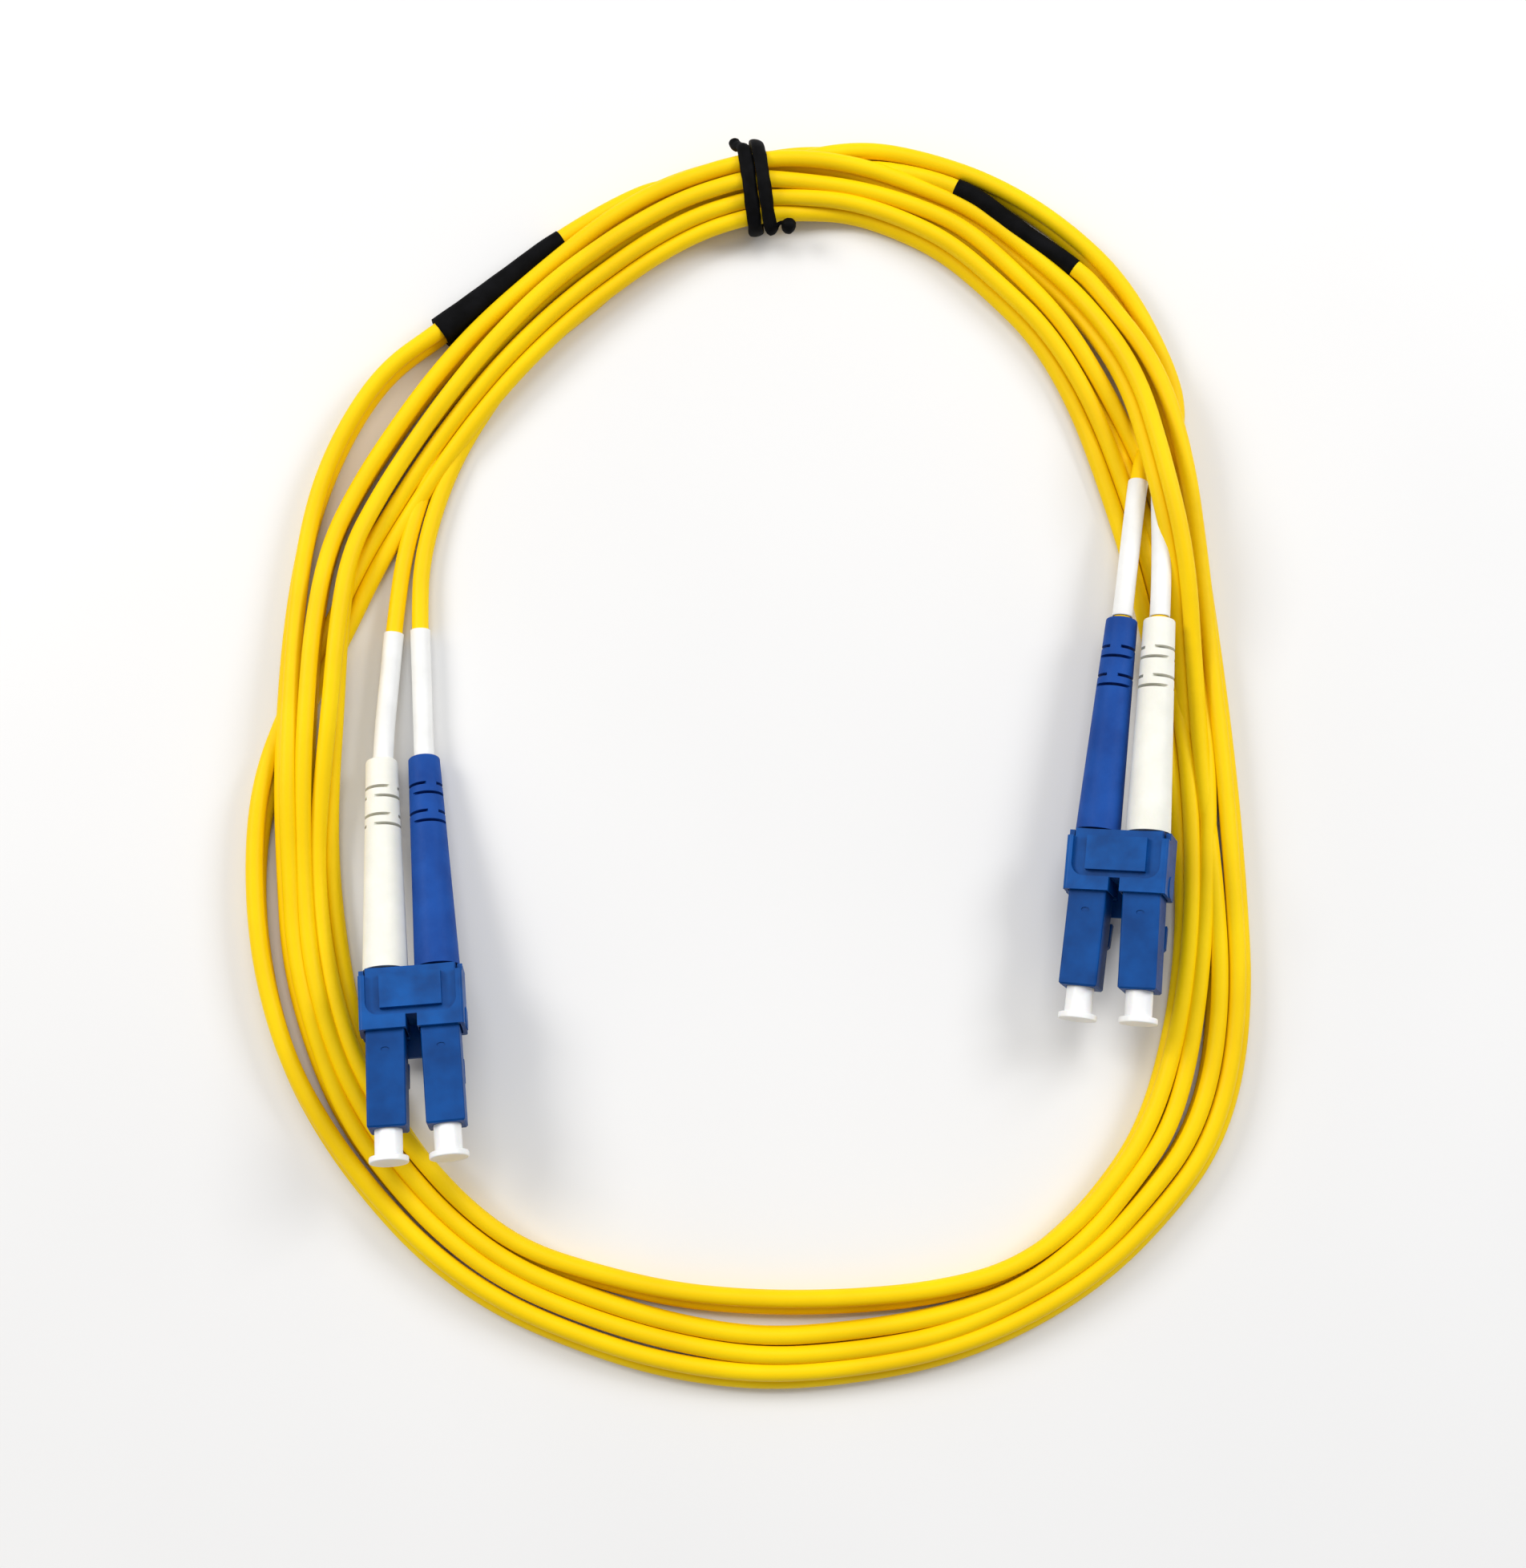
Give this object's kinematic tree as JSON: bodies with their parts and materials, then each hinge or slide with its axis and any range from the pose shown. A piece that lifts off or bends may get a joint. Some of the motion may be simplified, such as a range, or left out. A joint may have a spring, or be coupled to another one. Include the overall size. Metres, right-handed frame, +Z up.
{
  "type": "fiber optic patch cord",
  "caption": "Duplex fibre patch cord in a tied loose coil, with LC plugs, flexible boots, duplex clips, press triggers and pull-off dust caps.",
  "frame": {"origin": "on the surface that the cord lies on, under the middle of the box round the two connectors (the free cord left out)", "axes": "+Z up from the surface; +Y towards the twist tie at the far end of the coil, away from the plug noses; +X from end A to end B"},
  "size_m": [0.1221, 0.156, 0.0136],
  "materials": {
    "jacket_yellow": "satin PVC cable jacket",
    "shrink_black": "matt heat-shrink",
    "tie_black": "soft plastic-coated wire",
    "label_white": "satin heat-shrink",
    "boot_blue": "matt moulded elastomer",
    "boot_white": "matt moulded elastomer",
    "plug_blue": "semi-gloss moulded plastic",
    "clip_blue": "semi-gloss moulded plastic",
    "cap_white": "translucent white polyethylene",
    "ceramic": "polished white zirconia",
    "nickel": "nickel-plated brass",
    "spring_steel": "drawn stainless wire",
    "fibre_white": "tight buffer, 0.9 mm"
  },
  "bodies": {
    "root": {"end_a_duplex_clip": "clip_blue", "end_a_split_sleeve": "shrink_black", "end_a_white_plug_housing": "plug_blue", "end_a_white_rear_body": "plug_blue", "end_a_white_crimp_ring": "nickel", "end_a_white_boot": "boot_white", "end_a_white_leg": "jacket_yellow", "end_a_white_label_sleeve": "label_white", "end_a_white_ferrule_spring": "spring_steel", "end_a_blue_plug_housing": "plug_blue", "end_a_blue_rear_body": "plug_blue", "end_a_blue_crimp_ring": "nickel", "end_a_blue_boot": "boot_blue", "end_a_blue_leg": "jacket_yellow", "end_a_blue_label_sleeve": "label_white", "end_a_blue_ferrule_spring": "spring_steel", "end_b_duplex_clip": "clip_blue", "end_b_split_sleeve": "shrink_black", "end_b_blue_plug_housing": "plug_blue", "end_b_blue_rear_body": "plug_blue", "end_b_blue_crimp_ring": "nickel", "end_b_blue_boot": "boot_blue", "end_b_blue_leg": "jacket_yellow", "end_b_blue_label_sleeve": "label_white", "end_b_blue_ferrule_spring": "spring_steel", "end_b_white_plug_housing": "plug_blue", "end_b_white_rear_body": "plug_blue", "end_b_white_crimp_ring": "nickel", "end_b_white_boot": "boot_white", "end_b_white_leg": "jacket_yellow", "end_b_white_label_sleeve": "label_white", "end_b_white_ferrule_spring": "spring_steel", "cord_coil": "jacket_yellow", "twist_tie": "tie_black"},
    "end_a_trigger": {"end_a_trigger": "clip_blue"},
    "end_a_white_ferrule": {"end_a_white_ferrule": "ceramic", "end_a_white_ferrule_flange": "nickel", "end_a_white_buffered_fibre": "fibre_white"},
    "end_a_white_latch": {"end_a_white_latch_arm": "plug_blue"},
    "end_a_white_cap": {"end_a_white_dust_cap": "cap_white"},
    "end_a_blue_ferrule": {"end_a_blue_ferrule": "ceramic", "end_a_blue_ferrule_flange": "nickel", "end_a_blue_buffered_fibre": "fibre_white"},
    "end_a_blue_latch": {"end_a_blue_latch_arm": "plug_blue"},
    "end_a_blue_cap": {"end_a_blue_dust_cap": "cap_white"},
    "end_b_trigger": {"end_b_trigger": "clip_blue"},
    "end_b_blue_ferrule": {"end_b_blue_ferrule": "ceramic", "end_b_blue_ferrule_flange": "nickel", "end_b_blue_buffered_fibre": "fibre_white"},
    "end_b_blue_latch": {"end_b_blue_latch_arm": "plug_blue"},
    "end_b_blue_cap": {"end_b_blue_dust_cap": "cap_white"},
    "end_b_white_ferrule": {"end_b_white_ferrule": "ceramic", "end_b_white_ferrule_flange": "nickel", "end_b_white_buffered_fibre": "fibre_white"},
    "end_b_white_latch": {"end_b_white_latch_arm": "plug_blue"},
    "end_b_white_cap": {"end_b_white_dust_cap": "cap_white"}
  },
  "joints": [
    {"name": "end_a_trigger_press", "type": "hinge", "parent": "root", "child": "end_a_trigger", "pos_m": [-0.04249, -0.01235, 0.00333], "axis": [-0.994, -0.0847, 0.0686], "range_deg": [0, 7], "stiffness_Nm_per_rad": 0.03, "springref_deg": -5.73},
    {"name": "end_a_white_ferrule_float", "type": "slide", "parent": "root", "child": "end_a_white_ferrule", "axis": [-0.0786, 0.9799, -0.1834], "range_m": [0, 0.0008], "stiffness_N_per_m": 600, "springref_m": -0.0015, "deforming": ["end_a_white_ferrule_spring"]},
    {"name": "end_a_white_latch_flex", "type": "hinge", "parent": "root", "child": "end_a_white_latch", "pos_m": [-0.04425, -0.02786, 0.00766], "axis": [0.9956, 0.0676, -0.0654], "range_deg": [0, 6.1]},
    {"name": "end_a_white_cap_pull", "type": "slide", "parent": "root", "child": "end_a_white_cap", "axis": [0.0786, -0.9799, 0.1834], "range_m": [0, 0.009]},
    {"name": "end_a_blue_ferrule_float", "type": "slide", "parent": "root", "child": "end_a_blue_ferrule", "axis": [-0.1133, 0.9769, -0.181], "range_m": [0, 0.0008], "stiffness_N_per_m": 600, "springref_m": -0.0015, "deforming": ["end_a_blue_ferrule_spring"]},
    {"name": "end_a_blue_latch_flex", "type": "hinge", "parent": "root", "child": "end_a_blue_latch", "pos_m": [-0.03757, -0.0273, 0.0072], "axis": [0.9922, 0.1018, -0.0718], "range_deg": [0, 6.1]},
    {"name": "end_a_blue_cap_pull", "type": "slide", "parent": "root", "child": "end_a_blue_cap", "axis": [0.1133, -0.9769, 0.181], "range_m": [0, 0.009]},
    {"name": "end_b_trigger_press", "type": "hinge", "parent": "root", "child": "end_b_trigger", "pos_m": [0.04387, 0.00451, 0.00324], "axis": [-0.935, 0.0948, -0.3417], "range_deg": [0, 7], "stiffness_Nm_per_rad": 0.03, "springref_deg": -5.73},
    {"name": "end_b_blue_ferrule_float", "type": "slide", "parent": "root", "child": "end_b_blue_ferrule", "axis": [0.141, 0.9894, -0.0347], "range_m": [0, 0.0008], "stiffness_N_per_m": 600, "springref_m": -0.0015, "deforming": ["end_b_blue_ferrule_spring"]},
    {"name": "end_b_blue_latch_flex", "type": "hinge", "parent": "root", "child": "end_b_blue_latch", "pos_m": [0.03837, -0.01073, 0.0039], "axis": [0.9316, -0.1208, 0.3427], "range_deg": [0, 6.1]},
    {"name": "end_b_blue_cap_pull", "type": "slide", "parent": "root", "child": "end_b_blue_cap", "axis": [-0.141, -0.9894, 0.0347], "range_m": [0, 0.009]},
    {"name": "end_b_white_ferrule_float", "type": "slide", "parent": "root", "child": "end_b_white_ferrule", "axis": [0.092, 0.9944, -0.0525], "range_m": [0, 0.0008], "stiffness_N_per_m": 600, "springref_m": -0.0015, "deforming": ["end_b_white_ferrule_spring"]},
    {"name": "end_b_white_latch_flex", "type": "hinge", "parent": "root", "child": "end_b_white_latch", "pos_m": [0.04487, -0.01139, 0.00628], "axis": [0.9377, -0.0688, 0.3404], "range_deg": [0, 6.1]},
    {"name": "end_b_white_cap_pull", "type": "slide", "parent": "root", "child": "end_b_white_cap", "axis": [-0.092, -0.9944, 0.0525], "range_m": [0, 0.009]}
  ],
  "couplings": [
    {"joint": "end_a_white_latch_flex", "follows": "end_a_trigger_press", "ratio": 0.86},
    {"joint": "end_a_blue_latch_flex", "follows": "end_a_trigger_press", "ratio": 0.86},
    {"joint": "end_b_blue_latch_flex", "follows": "end_b_trigger_press", "ratio": 0.86},
    {"joint": "end_b_white_latch_flex", "follows": "end_b_trigger_press", "ratio": 0.86}
  ]
}
